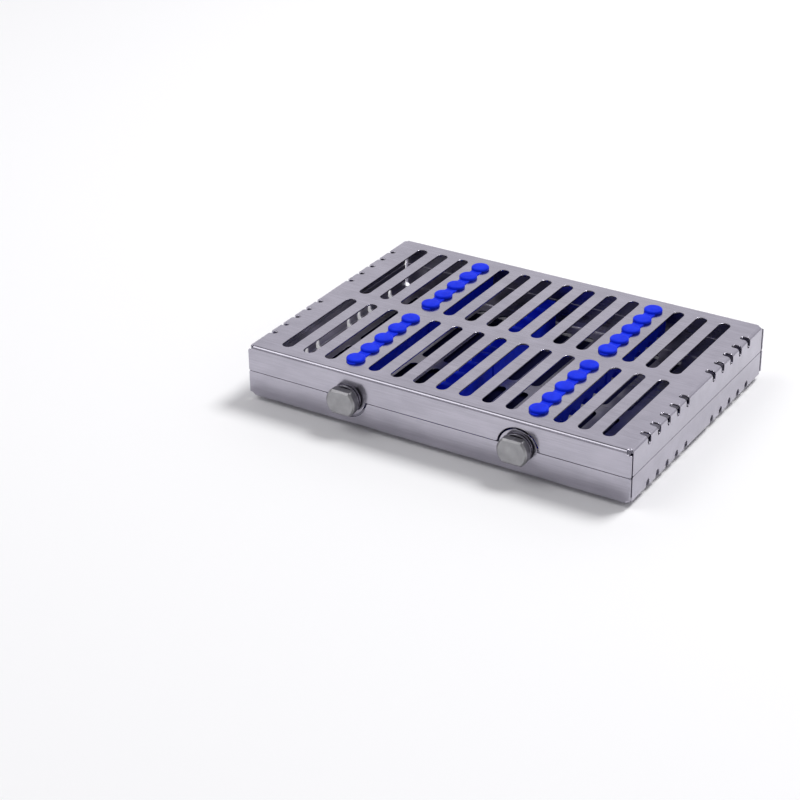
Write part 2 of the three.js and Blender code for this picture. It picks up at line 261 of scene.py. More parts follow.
def shell_object(name, shell, place, body, material):
    mesh = bpy.data.meshes.new(name)
    turn = place.to_3x3()
    points = [(place @ Vector(point)) * MM for point in shell.points]
    mesh.from_pydata(points, [], shell.faces)
    mesh.shade_smooth()
    normals = [(turn @ Vector(normal)).normalized() for normal in shell.normals]
    mesh.normals_split_custom_set_from_vertices(normals)
    mesh.materials.append(material)
    piece = bpy.data.objects.new(name, mesh)
    bpy.context.scene.collection.objects.link(piece)
    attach(piece, body)
    return piece


def side_normals(loop):
    """Unit steps to the left of the line before and after each point of a closed line."""
    points = np.array(loop, float)
    before = points - np.roll(points, 1, axis=0)
    after = np.roll(points, -1, axis=0) - points
    sides = []
    for step in (before, after):
        step = step / np.linalg.norm(step, axis=1)[:, None]
        sides.append(np.stack([-step[:, 1], step[:, 0]], axis=1))
    return sides


LEAST_MITRE_DIVISOR = 0.3
SAME_POINT = 1e-6
TRIANGULATION_TOLERANCE = 1e-5


def mitre(first, second):
    """The step that moves a corner one unit off both its sides, held short at a very sharp one."""
    divisor = 1 + (first * second).sum(axis=1)
    return (first + second) / np.maximum(divisor, LEAST_MITRE_DIVISOR)[:, None]


def moved_left(loop, amount):
    first, second = side_normals(loop)
    return np.array(loop, float) + amount * mitre(first, second)


def without_repeats(loop):
    return [here for i, here in enumerate(loop) if math.dist(here, loop[i - 1]) > SAME_POINT]


def signed_area(loop):
    x, y = np.array(loop, float).T
    return (x * np.roll(y, -1) - np.roll(x, -1) * y).sum() / 2


def inside_loops(points, loops):
    """True for each point that lies inside the outline and in no hole."""
    inside = np.zeros(len(points), bool)
    for loop in loops:
        ends = np.roll(loop, -1, axis=0)
        for (x0, y0), (x1, y1) in zip(loop, ends):
            if y0 == y1:
                continue
            crosses = (points[:, 1] > y0) != (points[:, 1] > y1)
            at = x0 + (points[:, 1] - y0) * (x1 - x0) / (y1 - y0)
            inside ^= crosses & (points[:, 0] < at)
    return inside


def filled(loops, creases):
    """Triangles that fill an outline around its holes, with edges along the creases."""
    points, edges = [], []
    for loop in loops:
        start = len(points)
        points += [Vector(point) for point in loop]
        edges += [(start + i, start + (i + 1) % len(loop)) for i in range(len(loop))]
    for crease in creases:
        edges.append((len(points), len(points) + 1))
        points += [Vector(point) for point in crease]
    flat, _, triangles, *_ = delaunay_2d_cdt(points, edges, [], 0, TRIANGULATION_TOLERANCE)
    flat = np.array([tuple(point) for point in flat])
    triangles = np.array([tuple(triangle) for triangle in triangles])
    middles = flat[triangles].mean(axis=1)
    triangles = triangles[inside_loops(middles, [np.array(loop) for loop in loops])]
    used, index = np.unique(triangles, return_inverse=True)
    return flat[used], index.reshape(-1, 3)


def rim_links(triangles):
    """The next and the last point along the open edges, for each point on them."""
    directed = {(a, b) for tri in triangles for a, b in zip(tri, np.roll(tri, -1))}
    rim = [(int(a), int(b)) for a, b in directed if (b, a) not in directed]
    return dict(rim), {b: a for a, b in rim}


def rim_outward(flat, rim, before, after):
    """Steps off the plate from the points of its open edges."""
    here = flat[rim]
    sides = []
    for step in (here - flat[[before[i] for i in rim]], flat[[after[i] for i in rim]] - here):
        step = step / np.linalg.norm(step, axis=1)[:, None]
        sides.append(np.stack([step[:, 1], -step[:, 0]], axis=1))
    return mitre(*sides)


def sheet_shell(loops, thickness, edge, lift, creases=()):
    """A plate with softened edges. lift takes points of the flat plate and their depths to space."""
    loops = [without_repeats(loop) for loop in loops]
    turned = [loop if (signed_area(loop) > 0) == (i == 0) else loop[::-1] for i, loop in enumerate(loops)]
    flat, triangles = filled([moved_left(loop, edge) for loop in turned], creases)
    after, before = rim_links(triangles)
    rim = np.array(sorted(after))
    here = flat[rim]
    outward = rim_outward(flat, rim, before, after)
    nudge = 0.01
    count = len(flat)

    def depth_normal(points, depth):
        return lift(points, depth + nudge) - lift(points, depth - nudge)

    shell = Shell()
    face = [tuple(int(i) for i in triangle) for triangle in triangles]
    shell.add(lift(flat, 0.0), -depth_normal(flat, 0.0), [triangle[::-1] for triangle in face])
    shell.add(lift(flat, thickness), depth_normal(flat, thickness), face)
    edge_points = here + edge * outward
    side = lift(here + nudge * outward, thickness / 2) - lift(here, thickness / 2)
    shell.add(lift(edge_points, edge), side, [])
    shell.add(lift(edge_points, thickness - edge), side, [])
    place = {int(i): k for k, i in enumerate(rim)}
    for a, b in after.items():
        ring = [2 * count + place[a], 2 * count + place[b]]
        deep = [ring[0] + len(rim), ring[1] + len(rim)]
        shell.faces.append((a, b, ring[1], ring[0]))
        shell.faces.append((ring[0], ring[1], deep[1], deep[0]))
        shell.faces.append((deep[0], deep[1], count + b, count + a))
    return shell


def flat_lift(points, depth):
    return np.column_stack([points, np.full(len(points), depth)])


def turned_shell(profile, steps=48):
    """A piece turned round Z from (radius, height) points. A closed profile makes a ring."""
    shell = Shell()
    closed = profile[0] == profile[-1]
    spans = list(zip(profile[:-1], profile[1:]))
    slopes = []
    for (r0, z0), (r1, z1) in spans:
        slopes.append(Vector((z1 - z0, r0 - r1)).normalized())
    sharp = math.cos(math.radians(40))
    for i, ((r0, z0), (r1, z1)) in enumerate(spans):
        last = slopes[i - 1] if i or closed else slopes[i]
        following = slopes[(i + 1) % len(slopes)] if closed or i + 1 < len(slopes) else slopes[i]
        ends = []
        for other in (last, following):
            blend = slopes[i] + other if slopes[i].dot(other) > sharp else slopes[i]
            ends.append(blend.normalized())
        points, normals, faces = [], [], []
        for k in range(steps):
            c, s = math.cos(2 * math.pi * k / steps), math.sin(2 * math.pi * k / steps)
            for (radius, height), slope in zip(((r0, z0), (r1, z1)), ends):
                points.append((radius * c, radius * s, height))
                normals.append((slope.x * c, slope.x * s, slope.y))
            a, b = 2 * k, 2 * ((k + 1) % steps)
            corners = [a, b, b + 1, a + 1]
            if r0 == 0:
                corners = [a, b + 1, a + 1]
            elif r1 == 0:
                corners = [a, b, a + 1]
            faces.append(corners)
        shell.add(points, normals, faces)
    return shell


def chamfered_shell(outline, profile):
    """A block inside an outline. Its sides follow (inset, height) points, with crisp edges."""
    shell = Shell()
    count = len(outline)
    outward = -mitre(*side_normals(outline))
    faces = [(i, (i + 1) % count, (i + 1) % count + count, i + count) for i in range(count)]
    for (low_inset, low), (high_inset, high) in zip(profile[:-1], profile[1:]):
        slope = Vector((high - low, high_inset - low_inset)).normalized()
        normals = np.column_stack([outward * slope.x, np.full(count, slope.y)])
        below = flat_lift(moved_left(outline, low_inset), low)
        above = flat_lift(moved_left(outline, high_inset), high)
        shell.add(np.vstack([below, above]), np.vstack([normals, normals]), faces)
    for (inset, height), side in ((profile[0], -1), (profile[-1], 1)):
        flat, triangles = filled([moved_left(outline, inset)], [])
        corners = [tuple(int(i) for i in triangle[::side]) for triangle in triangles]
        shell.add(flat_lift(flat, height), [(0, 0, side)] * len(flat), corners)
    return shell


# The tray: punched out of flat sheet, then folded

def fold_length(radius, thickness):
    return math.pi / 2 * (radius - thickness / 2)


def folded(past, inset, radius, thickness):
    """How far along and up a point comes to lie, for a point of the flat sheet past a fold's start."""
    turned = radius - inset
    length = fold_length(radius, thickness)
    angle = np.clip(past / length, 0, 1) * math.pi / 2
    along = np.where(past < 0, past, turned * np.sin(angle))
    up = np.where(past < 0, inset, radius - turned * np.cos(angle))
    return along, up + np.maximum(past - length, 0)


FOLD_ARC = fold_length(FOLD_RADIUS, SHEET)
FLAP = FOLD_ARC + TRAY_HEIGHT - FOLD_RADIUS
FOLD_X = HALF_LENGTH - FOLD_RADIUS
FOLD_Y = HALF_WIDTH - FOLD_RADIUS
FOLD_STEPS = 7


def flap_place(height):
    """How far past the fold a point of the finished wall lies on the flat sheet."""
    return FOLD_ARC + height - FOLD_RADIUS


def corner_points():
    """One corner of the flat sheet, from the end flap round the relief hole to the long flap."""
    hole_x = HALF_LENGTH - CORNER_HOLE_INSET
    hole_y = HALF_WIDTH - CORNER_HOLE_INSET
    flap_edge = HALF_WIDTH - SHEET - CORNER_GAP
    free_x, free_y = FOLD_X + FLAP, FOLD_Y + FLAP
    end = WALL_END_RADIUS
    mouth = HOLE_MOUTH_RADIUS
    start = math.degrees(math.asin((flap_edge - hole_y) / CORNER_HOLE_RADIUS))
    top = hole_y + CORNER_HOLE_RADIUS
    points = arc(free_x - end, flap_edge - end, end, 0, 90, steps=8)
    points += arc(hole_x, hole_y, CORNER_HOLE_RADIUS, start, -270, steps=24)
    points += arc(HALF_LENGTH - mouth, top + mouth, mouth, -90, 0, steps=4)
    return points + arc(HALF_LENGTH - end, free_y - end, end, 0, 90, steps=8)


def arch_points():
    """The cut in the free edge round the other tray's tongue, with a softened mouth."""
    radius = TONGUE_RADIUS + TONGUE_GAP
    edge = -(FOLD_Y + FLAP)
    centre = -(FOLD_Y + flap_place(SEAM + TONGUE_DROP))
    soft = ARCH_MOUTH_RADIUS
    soft_y = edge + soft
    soft_x = math.sqrt((radius + soft) ** 2 - (soft_y - centre) ** 2)
    lean = math.degrees(math.atan2(soft_y - centre, soft_x))
    left = arc(-LATCH_X - soft_x, soft_y, soft, -90, -lean, steps=6)
    bow = arc(-LATCH_X, centre, radius, 180 - lean, lean, steps=40)
    right = arc(-LATCH_X + soft_x, soft_y, soft, 180 + lean, 270, steps=6)
    return left + bow + right


def tongue_points():
    edge = -(FOLD_Y + FLAP)
    centre = -(FOLD_Y + flap_place(SEAM - TONGUE_DROP))
    start = math.degrees(math.asin((edge - centre) / TONGUE_RADIUS))
    return arc(LATCH_X, centre, TONGUE_RADIUS, 180 - start, 360 + start, steps=40)


def sheet_outline():
    corner = corner_points()
    back_left = [(-x, y) for x, y in reversed(corner)]
    front_left = [(-x, -y) for x, y in corner]
    front_right = [(x, -y) for x, y in reversed(corner)]
    return corner + back_left + front_left + arch_points() + tongue_points() + front_right


def slot_x(slot):
    return ((SLOT_COUNT + 1) / 2 - slot) * SLOT_PITCH


def sheet_holes():
    holes = [circle(LATCH_X, -(FOLD_Y + flap_place(SEAM)), STEM_HOLE_RADIUS)]
    reach = (SLOT_LENGTH - SLOT_WIDTH) / 2
    for slot in range(1, SLOT_COUNT + 1):
        for y in (-COLUMN_Y, COLUMN_Y):
            x = slot_x(slot)
            holes.append(round_slot(x, y - reach, x, y + reach, SLOT_WIDTH))
    end = NOTCH_WIDTH / 2
    inner = HALF_LENGTH - NOTCH_ON_PLATE + end
    outer = FOLD_X + flap_place(NOTCH_ON_WALL) - end
    for side in (-1, 1):
        for column in (-COLUMN_Y, COLUMN_Y):
            for i in range(NOTCH_COUNT):
                y = column + (i - (NOTCH_COUNT - 1) / 2) * NOTCH_PITCH
                holes.append(round_slot(side * inner, y, side * outer, y, NOTCH_WIDTH, steps=8))
    return holes


def fold_creases():
    margin = 0.2
    steps = [-margin] + [FOLD_ARC * i / FOLD_STEPS for i in range(FOLD_STEPS + 1)] + [FOLD_ARC + margin]
    creases = []
    for side in (-1, 1):
        for step in steps:
            x, y = side * (FOLD_X + step), side * (FOLD_Y + step)
            creases.append([(x, -FOLD_Y - margin), (x, FOLD_Y + margin)])
            creases.append([(-HALF_LENGTH, y), (HALF_LENGTH, y)])
    return creases


def tray_lift(points, depth):
    u, v = points[:, 0], points[:, 1]
    past_x, past_y = np.abs(u) - FOLD_X, np.abs(v) - FOLD_Y
    at_end = (past_x > 0) & (past_x >= past_y)
    at_side = (past_y > 0) & ~at_end
    across_x, up_x = folded(past_x, depth, FOLD_RADIUS, SHEET)
    across_y, up_y = folded(past_y, depth, FOLD_RADIUS, SHEET)
    x = np.where(at_end, np.sign(u) * (FOLD_X + across_x), u)
    y = np.where(at_side, np.sign(v) * (FOLD_Y + across_y), v)
    z = np.where(at_end, up_x, np.where(at_side, up_y, depth))
    return np.stack([x, y, z], axis=1)


def tray_shell():
    loops = [sheet_outline()] + sheet_holes()
    return sheet_shell(loops, SHEET, PUNCHED_EDGE, tray_lift, fold_creases())


# The rails: a comb of cradles inside the tray, and button heads that hold it on from outside

def place_y(place):
    return (place - (PLACES_PER_RAIL - 1) / 2) * PLACE_PITCH


def comb_outline():
    """The comb of a front rail. It runs on over the rib, nearly to the comb of the back rail."""
    outer = -COMB_REACH
    middle = COLUMN_Y - COMB_MIDDLE_GAP / 2
    radius = CRADLE_WIDTH / 2
    soft = COMB_MIDDLE_RADIUS
    bottom = SHEET + RAIL_GAP
    points = [(outer, bottom), (middle, bottom)]
    points += arc(middle - soft, COMB_HEIGHT - soft, soft, 0, 90, steps=8)
    for place in reversed(range(PLACES_PER_RAIL)):
        centre = place_y(place)
        points.append((centre + radius, COMB_HEIGHT))
        points += arc(centre, COMB_HEIGHT - CRADLE_DEPTH + radius, radius, 0, -180, steps=24)
        points.append((centre - radius, COMB_HEIGHT))
    points.append((outer, COMB_HEIGHT))
    return softened(points, COMB_CORNER_RADIUS)


def head_profile():
    """A low button with a faint crown, a soft rim and a small step in under the rim."""
    rim = HEAD_RIM_RADIUS
    flat_radius = HEAD_RADIUS - rim
    steps = HEAD_CROWN_STEPS
    crown = [(flat_radius * i / steps, HEAD_CROWN * (i / steps) ** 2 - HEAD_REACH) for i in range(steps)]
    soft_rim = arc(flat_radius, HEAD_CROWN + rim - HEAD_REACH, rim, -90, 0, steps=6)
    step_in = [(HEAD_RADIUS, -HEAD_STEP_DEPTH), (HEAD_RADIUS - HEAD_STEP_INSET, -HEAD_STANDOFF)]
    return crown + soft_rim + step_in + [(0, -HEAD_STANDOFF)]


def rail_shell():
    comb_frame = Matrix(((0, 0, 1, 0), (1, 0, 0, 0), (0, 1, 0, 0), (0, 0, 0, 1)))
    shell = Shell()
    comb = sheet_shell([comb_outline()], COMB_THICKNESS, COMB_EDGE, flat_lift)
    shell.join(comb, comb_frame @ Matrix.Translation((0, 0, -COMB_THICKNESS / 2)))
    reach = (SLOT_LENGTH - SLOT_WIDTH) / 2
    web = round_slot(0, -reach, 0, reach, SLOT_WIDTH - WEB_SLACK)
    web_shell = sheet_shell([web], WEB_PROUD + SHEET + 2 * RAIL_GAP, WEB_EDGE, flat_lift)
    shell.join(web_shell, Matrix.Translation((0, 0, -WEB_PROUD)))
    head = turned_shell(head_profile())
    for place in range(PLACES_PER_RAIL):
        shell.join(head, Matrix.Translation((0, place_y(place), 0)))
    return shell


# The latches, drawn lying down: Z runs out of the wall from its face, and Y points to the other tray

LATCH_FRAME = Matrix.Translation((LATCH_X, -HALF_WIDTH, SEAM)) @ Matrix.Rotation(math.pi / 2, 4, "X")


def levels(node):
    """How far in and out of the front wall's face a piece of the base's latch reaches."""
    low, high = box_in_mm(node)
    return TRAY_Y - HALF_WIDTH - high.y, TRAY_Y - HALF_WIDTH - low.y


def plate_at(loops, bottom, top, edge):
    plate = sheet_shell(loops, top - bottom, edge, flat_lift)
    return Shell().join(plate, Matrix.Translation((0, 0, bottom)))


def knob_shell():
    knob_top = levels("right_knob")[1]
    knob_bottom = knob_top - KNOB_HEIGHT
    collar_top = levels("right_collar")[1]
    cam_bottom, cam_top = levels("right_cam")
    head = softened(double_d(KNOB_DIAMETER, KNOB_FLATS), KNOB_CORNER_RADIUS)
    profile = [(KNOB_BACK_CHAMFER, knob_bottom), (0, knob_bottom + KNOB_BACK_CHAMFER)]
    profile += [(0, knob_top - KNOB_CHAMFER), (KNOB_CHAMFER, knob_top)]
    shell = chamfered_shell(head, profile)
    stem_end = softened(double_d(STEM_DIAMETER, STEM_FLATS), STEM_CORNER_RADIUS)
    shell.join(plate_at([stem_end], cam_bottom, cam_top + STEM_OVERLAP, STEM_EDGE), Matrix.Identity(4))
    radius = STEM_DIAMETER / 2
    stem = [(0, cam_top + STACK_GAP), (radius, cam_top + STACK_GAP), (radius, collar_top + STACK_GAP)]
    neck = [(NECK_RADIUS, collar_top + STACK_GAP), (NECK_RADIUS, knob_bottom + NECK_OVERLAP)]
    return shell.join(turned_shell(stem + neck), Matrix.Identity(4))


def collar_shell():
    loops = [circle(0, 0, COLLAR_RADIUS, steps=64), circle(0, 0, STEM_HOLE_RADIUS)]
    return plate_at(loops, *levels("right_collar"), COLLAR_EDGE)


def wave_lift(points, depth):
    turn = np.arctan2(points[:, 1], points[:, 0])
    bottom, top = levels("right_spring_washer")
    swing = (top - bottom - SPRING_SHEET) / 2
    return np.column_stack([points, bottom + swing * (1 + np.cos(SPRING_WAVES * turn)) + depth])


def spring_shell():
    loops = [circle(0, 0, radius, steps=72) for radius in (SPRING_RADIUS, STEM_HOLE_RADIUS)]
    return sheet_shell(loops, SPRING_SHEET, SPRING_EDGE, wave_lift)


def cam_shell():
    reach = box_in_mm("right_cam")[1].z - HEAD_REACH - SEAM
    bar = round_slot(0, 0, 0, reach - CAM_WIDTH / 2, CAM_WIDTH, steps=20)
    hole = double_d(STEM_DIAMETER + 2 * STACK_GAP, STEM_FLATS + 2 * STACK_GAP)
    return plate_at([bar, hole], *levels("right_cam"), CAM_EDGE)


def screw_shell():
    """A cap screw: a head with a hexagon socket, the socket's floor and the shank."""
    bottom, tip = levels("right_cam_screw")
    top = bottom + SCREW_HEAD_HEIGHT
    socket = circle(0, 0, SCREW_SOCKET_RADIUS, steps=6)
    shell = plate_at([circle(0, 0, SCREW_HEAD_RADIUS), socket], bottom, top, SCREW_HEAD_EDGE)
    floor = bottom + SCREW_HEAD_HEIGHT / 2
    profile = [(0, floor), (SCREW_SOCKET_RADIUS, floor), (SCREW_SOCKET_RADIUS, top)]
    profile += [(SCREW_SHANK_RADIUS, top), (SCREW_SHANK_RADIUS, tip), (0, tip)]
    return shell.join(turned_shell(profile, steps=24), Matrix.Identity(4))


def keeper_shell():
    """An angle of sheet beside the arch: the leg stands on the wall and the foot lies past the seam."""
    low, high = box_in_mm("left_keeper")
    front = low.y - TRAY_Y
    top = high.z - HEAD_REACH
    bend = fold_length(KEEPER_BEND, KEEPER_SHEET)
    leg_bottom = low.z - high.z + KEEPER_BEND
    foot_end = bend + high.y - low.y - KEEPER_BEND
    leg_x = high.x - KEEPER_LEG_WIDTH
    outline = [(leg_x, leg_bottom), (high.x, leg_bottom), (high.x, foot_end)]
    outline += [(low.x, foot_end), (low.x, bend), (leg_x, bend)]
    steps = [bend * i / KEEPER_BEND_STEPS for i in range(KEEPER_BEND_STEPS + 1)]
    creases = [[(low.x, step), (high.x, step)] for step in steps]

    def lift(points, depth):
        along, up = folded(points[:, 1], KEEPER_SHEET - depth, KEEPER_BEND, KEEPER_SHEET)
        return np.column_stack([points[:, 0], front + up, top - KEEPER_BEND + along])

    loops = [softened(outline, KEEPER_CORNER_RADIUS)]
    return sheet_shell(loops, KEEPER_SHEET, KEEPER_EDGE, lift, creases)


# The hinges: two leaves of sheet curled round one pin

def leaf_outline(own_middle, half, bottom, curl):
    """A leaf laid flat, with its knuckles at the top: the middle one, or the two beside it."""
    knuckle = MIDDLE_KNUCKLE / 2
    shoulder = -BARREL_RADIUS - KNUCKLE_GAP
    if own_middle:
        top = [(half, shoulder), (knuckle, shoulder), (knuckle, curl)]
    else:
        inner = knuckle + KNUCKLE_GAP
        top = [(half, curl), (inner, curl), (inner, shoulder)]
    return [(-half, bottom), (half, bottom)] + top + [(-x, y) for x, y in reversed(top)]


def leaf_shell(node, own_middle):
    low, high = box_in_mm(node)
    front = HALF_WIDTH + LEAF_GAP
    middle_radius = BARREL_RADIUS - LEAF_SHEET / 2
    curl = middle_radius * math.radians(CURL_TURN)
    height = (high.z - low.z) - BARREL_RADIUS
    half = (high.x - low.x) / 2
    outline = softened(leaf_outline(own_middle, half, -height, curl), LEAF_CORNER_RADIUS)
    steps = [curl * i / CURL_STEPS for i in range(CURL_STEPS + 1)]
    creases = [[(-half, step), (half, step)] for step in steps]

    def lift(points, depth):
        radius = BARREL_RADIUS - LEAF_SHEET + depth
        angle = np.maximum(points[:, 1], 0) / middle_radius
        y = front + BARREL_RADIUS - radius * np.cos(angle)
        z = SEAM + radius * np.sin(angle) + np.minimum(points[:, 1], 0)
        return np.column_stack([points[:, 0], y, z])

    return sheet_shell([outline], LEAF_SHEET, LEAF_EDGE, lift, creases)


def pin_shell(node):
    low, high = box_in_mm(node)
    half = (high.x - low.x) / 2
    neck = half - PIN_HEAD_HEIGHT
    dome = zip(PIN_DOME_RADIUS_SHARES, PIN_DOME_DROPS)
    head = [(PIN_HEAD_RADIUS * share, half - drop) for share, drop in dome]
    head += [(PIN_HEAD_RADIUS, neck), (PIN_RADIUS, neck)]
    profile = [(radius, -height) for radius, height in head]
    return turned_shell(profile + list(reversed(head)), steps=32)


# Materials

class Value:
    """A shader socket that takes part in plain arithmetic by adding Math nodes."""

    def __init__(self, maker, socket):
        self.maker = maker
        self.socket = socket

    def math(self, operation, *others):
        inputs = {i + 1: other for i, other in enumerate(others)}
        return self.maker.node("ShaderNodeMath", {"operation": operation}, {0: self, **inputs})

    def __add__(self, other):
        return self.math("ADD", other)

    def __sub__(self, other):
        return self.math("SUBTRACT", other)

    def __mul__(self, other):
        return self.math("MULTIPLY", other)

    def __radd__(self, other):
        return self.math("ADD", other)

    def __rmul__(self, other):
        return self.math("MULTIPLY", other)

    def __rsub__(self, other):
        return self.maker.node("ShaderNodeMath", {"operation": "SUBTRACT"}, {0: other, 1: self})


class Shading:
    """A tree of shader nodes round one shader, in a material or in the world."""

    def __init__(self, owner, shader, **fixed):
        owner.use_nodes = True
        self.nodes = owner.node_tree.nodes
        self.links = owner.node_tree.links
        self.shader = self.nodes[shader]
        for socket, value in fixed.items():
            self.shader.inputs[socket.replace("_", " ")].default_value = value

    def node(self, kind, settings, inputs, output=0):
        made = self.nodes.new(kind)
        for name, value in settings.items():
            setattr(made, name, value)
        for key, value in inputs.items():
            if isinstance(value, Value):
                self.links.new(value.socket, made.inputs[key])
            else:
                made.inputs[key].default_value = value
        return Value(self, made.outputs[output])

    def feed(self, socket, value):
        self.links.new(value.socket, self.shader.inputs[socket])

    def place(self, output):
        return self.node("ShaderNodeTexCoord", {}, {}, output)

    def part(self, vector, axis):
        return self.node("ShaderNodeSeparateXYZ", {}, {0: vector}, axis)

    def stretched(self, vector, scale):
        inputs = {0: vector, 1: scale}
        return self.node("ShaderNodeVectorMath", {"operation": "MULTIPLY"}, inputs)

    def noise(self, vector, scale=1.0, detail=2.0, roughness=0.5):
        inputs = {"Vector": vector, "Scale": scale, "Detail": detail, "Roughness": roughness}
        return self.node("ShaderNodeTexNoise", {}, inputs, "Fac")

    def ramp(self, value, low, high):
        inputs = {"Value": value, "From Min": low, "From Max": high}
        return self.node("ShaderNodeMapRange", {"interpolation_type": "SMOOTHSTEP"}, inputs)

    def colours(self, share, first, second):
        inputs = {"Factor": share, 6: (*first, 1), 7: (*second, 1)}
        return self.node("ShaderNodeMix", {"data_type": "RGBA"}, inputs, 2)

    def bump(self, height, distance, under=None):
        inputs = {"Height": height, "Distance": distance, "Strength": 1.0}
        if under:
            inputs["Normal"] = under
        return self.node("ShaderNodeBump", {}, inputs)


class Finish(Shading):
    """A material with one Principled shader."""

    def __init__(self, name, **fixed):
        self.material = bpy.data.materials.new(name)
        super().__init__(self.material, "Principled BSDF", **fixed)


# Noise cells per metre along X, Y and Z, and the depths of the finest relief
BRUSH_GRAIN = (50, 2400, 2400)
FINE_BRUSH_GRAIN = (260, 6500, 6500)
SMUDGE_GRAIN = (90, 150, 150)
UNEVEN_GRAIN = (30, 45, 45)
FINE_STEEL_GRAIN = (2200, 2200, 2200)
KNOB_RINGS_PER_METRE = 2600
UNEVEN_DEPTH = 0.4 * MM
FITTING_GRAIN_DEPTH = 0.01 * MM
RING_DEPTH = 0.016 * MM
SILICONE_GRAIN_DEPTH = 0.04 * MM


def varied(middle, *layers):
    """A value that varies about its middle by each noise's share."""
    spread = sum(share for _, share in layers)
    return sum((noise * share for noise, share in layers), middle - spread / 2)


def brushed_steel(name, light, dark, roughness, grain_depth):
    """Stainless sheet brushed along X, with cloudy patches, smudges, rub marks and a slight unevenness."""
    finish = Finish(name, Metallic=1.0)
    place = finish.place("Object")
    grain = finish.noise(finish.stretched(place, BRUSH_GRAIN), detail=3.0, roughness=0.6)
    fine = finish.noise(finish.stretched(place, FINE_BRUSH_GRAIN))
    clouds = finish.noise(place, scale=26.0, detail=3.0)
    smudges = finish.noise(finish.stretched(place, SMUDGE_GRAIN))
    rubbed = finish.ramp(finish.noise(place, scale=75.0, detail=4.0, roughness=0.62), low=0.5, high=0.78)
    uneven = finish.noise(finish.stretched(place, UNEVEN_GRAIN), detail=1.0)
    shade = finish.ramp(grain * 0.45 + clouds * 0.3 + smudges * 0.25, low=0.34, high=0.66)
    finish.feed("Base Color", finish.colours(shade, dark, light))
    finish.feed("Roughness", varied(roughness, (grain, 0.09), (rubbed, 0.05), (clouds, 0.06)))
    fine_bump = finish.bump(grain * 0.7 + fine * 0.3, grain_depth)
    finish.feed("Normal", finish.bump(uneven, UNEVEN_DEPTH, under=fine_bump))
    return finish.material


def turned_steel(name, light, dark, roughness):
    """Machined stainless with an even fine grain and slight clouds."""
    finish = Finish(name, Metallic=1.0)
    place = finish.place("Object")
    fine = finish.noise(finish.stretched(place, FINE_STEEL_GRAIN))
    clouds = finish.noise(place, scale=160.0, detail=3.0)
    shade = finish.ramp(clouds, low=0.35, high=0.65)
    finish.feed("Base Color", finish.colours(shade, dark, light))
    finish.feed("Roughness", varied(roughness, (fine, 0.08), (clouds, 0.06)))
    finish.feed("Normal", finish.bump(fine, FITTING_GRAIN_DEPTH))
    return finish.material


def ringed_steel(name, light, dark, roughness):
    """Turned stainless with fine tool rings round the axis of either knob."""
    finish = Finish(name, Metallic=1.0)
    place = finish.place("Object")
    across = finish.node("ShaderNodeMath", {"operation": "ABSOLUTE"}, {0: finish.part(place, "X")})
    across = across - LATCH_X * MM
    up = finish.part(place, "Z") - (HEAD_REACH + SEAM) * MM
    radius = finish.node("ShaderNodeMath", {"operation": "SQRT"}, {0: across * across + up * up})
    rings_at = {"W": radius * KNOB_RINGS_PER_METRE, "Detail": 2.0}
    rings = finish.node("ShaderNodeTexNoise", {"noise_dimensions": "1D"}, rings_at, "Fac")
    clouds = finish.noise(place, scale=190.0, detail=3.0)
    fine = finish.noise(place, scale=2600.0)
    shade = finish.ramp(rings * 0.6 + clouds * 0.4, low=0.35, high=0.65)
    finish.feed("Base Color", finish.colours(shade, dark, light))
    finish.feed("Roughness", varied(roughness, (rings, 0.12), (clouds, 0.1)))
    finish.feed("Normal", finish.bump(rings * 0.8 + fine * 0.2, RING_DEPTH))
    return finish.material


def blue_silicone(name, light, dark, roughness):
    """Moulded silicone: even colour, a fine matt texture and a slight cloudiness."""
    gloss = {"IOR": 1.25, "Specular_IOR_Level": 0.3, "Specular_Tint": (0.2, 0.35, 1.0, 1)}
    depth = {"Subsurface_Radius": (0.0004, 0.0006, 0.002), "Subsurface_Scale": 1.0}
    finish = Finish(name, Metallic=0.0, Subsurface_Weight=0.08, **gloss, **depth)
    place = finish.place("Object")
    clouds = finish.noise(place, scale=220.0, detail=3.0)
    matt = finish.noise(place, scale=3200.0)
    shade = finish.ramp(clouds, low=0.3, high=0.7)
    finish.feed("Base Color", finish.colours(shade, dark, light))
    finish.feed("Roughness", varied(roughness, (matt, 0.12), (clouds, 0.08)))
    finish.feed("Normal", finish.bump(matt * 0.5 + clouds, SILICONE_GRAIN_DEPTH))
    return finish.material


SHEET_LIGHT = (0.50, 0.48, 0.55)
SHEET_DARK = (0.40, 0.385, 0.445)
STEEL = brushed_steel("brushed_sheet", SHEET_LIGHT, SHEET_DARK, 0.22, grain_depth=0.005 * MM)
INNER_STEEL = brushed_steel("inner_sheet", SHEET_LIGHT, SHEET_DARK, 0.31, grain_depth=0.004 * MM)
FITTING = turned_steel("turned_fittings", (0.50, 0.49, 0.53), (0.40, 0.39, 0.43), 0.26)
KNOB = ringed_steel("ringed_knobs", (0.39, 0.385, 0.40), (0.25, 0.25, 0.26), 0.32)
SPRING = turned_steel("spring_washers", (0.40, 0.39, 0.42), (0.32, 0.31, 0.33), 0.36)
SILICONE = blue_silicone("blue_silicone", (0.010, 0.036, 0.80), (0.007, 0.025, 0.68), 0.5)


# Pieces

def stand_in(shell, node, place, body, material):
    piece = shell_object(f"{node}_look", shell, place, body, material)
    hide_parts(node)
    return piece


def finish_inside(tray, place, material):
    """Gives the faces inside a tray a finish of their own."""
    tray.data.materials.append(material)
    skin = 0.75 * SHEET
    for face in tray.data.polygons:
        middle = place.inverted() @ (face.center / MM)
        within = abs(middle.x) < HALF_LENGTH - skin and abs(middle.y) < HALF_WIDTH - skin
        face.material_index = int(within and middle.z > skin)


